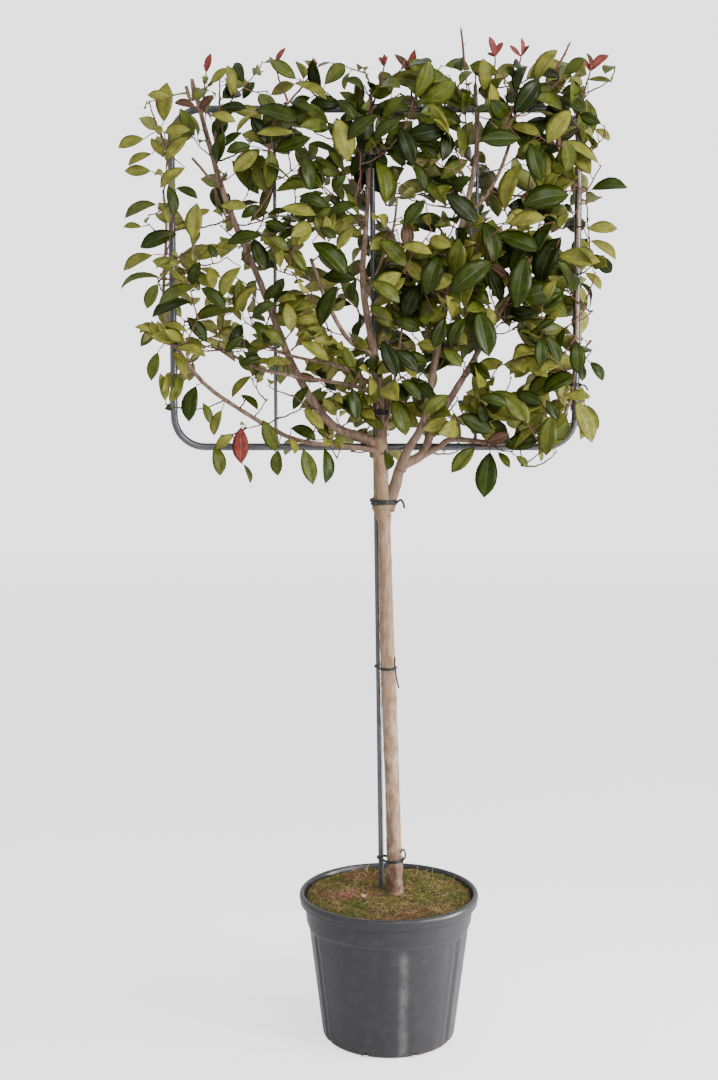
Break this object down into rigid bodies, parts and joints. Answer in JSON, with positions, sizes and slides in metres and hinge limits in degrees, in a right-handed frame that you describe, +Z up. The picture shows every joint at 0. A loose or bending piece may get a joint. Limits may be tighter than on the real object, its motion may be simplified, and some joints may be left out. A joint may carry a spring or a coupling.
{
  "type": "potted red tip photinia",
  "caption": "Red tip photinia trained flat on a tube frame above a clear trunk: evergreen crown with red new leaves, standing in a round nursery pot.",
  "frame": {"origin": "centre of the pot's flat underside, on the floor", "axes": "+Z up the trunk, +X to the right along the flat crown, +Y from the crown's front to its back"},
  "size_m": [1.1061, 0.405, 2.2325],
  "materials": {
    "pot_plastic": "satin",
    "substrate": "matte",
    "bark": "matte",
    "bough_bark": "matte",
    "frame_steel": "satin",
    "tie_plastic": "matte",
    "foliage": "satin"
  },
  "bodies": {
    "root": {"pot": "pot_plastic", "root_ball": "substrate", "trunk": "bark", "bough_leader": "bough_bark", "bough_left_main": "bough_bark", "bough_left_low": "bough_bark", "bough_left_edge": "bough_bark", "bough_left_inner_low": "bough_bark", "bough_left_inner_high": "bough_bark", "bough_left_stub": "bough_bark", "bough_centre_low": "bough_bark", "bough_centre_high": "bough_bark", "bough_right_main": "bough_bark", "bough_right_inner": "bough_bark", "bough_right_low": "bough_bark", "bough_right_edge": "bough_bark", "bough_right_outer": "bough_bark", "frame_top": "frame_steel", "frame_bottom": "frame_steel", "frame_left": "frame_steel", "frame_right": "frame_steel", "frame_bend_low_left": "frame_steel", "frame_bend_low_right": "frame_steel", "frame_bend_high_left": "frame_steel", "frame_bend_high_right": "frame_steel", "rod_left": "frame_steel", "rod_right": "frame_steel", "upright_low": "frame_steel", "upright_high": "frame_steel", "tie_low": "tie_plastic", "tie_middle": "tie_plastic", "tie_graft": "tie_plastic", "tie_leader": "tie_plastic", "tie_left": "tie_plastic", "tie_right": "tie_plastic", "foliage_left_low": "foliage", "foliage_left_mid": "foliage", "foliage_left_high": "foliage", "foliage_inner_low": "foliage", "foliage_inner_mid": "foliage", "foliage_inner_high": "foliage", "foliage_centre_low": "foliage", "foliage_centre_mid": "foliage", "foliage_centre_high": "foliage", "foliage_right_low": "foliage", "foliage_right_mid": "foliage", "foliage_right_high": "foliage"}
  },
  "joints": []
}
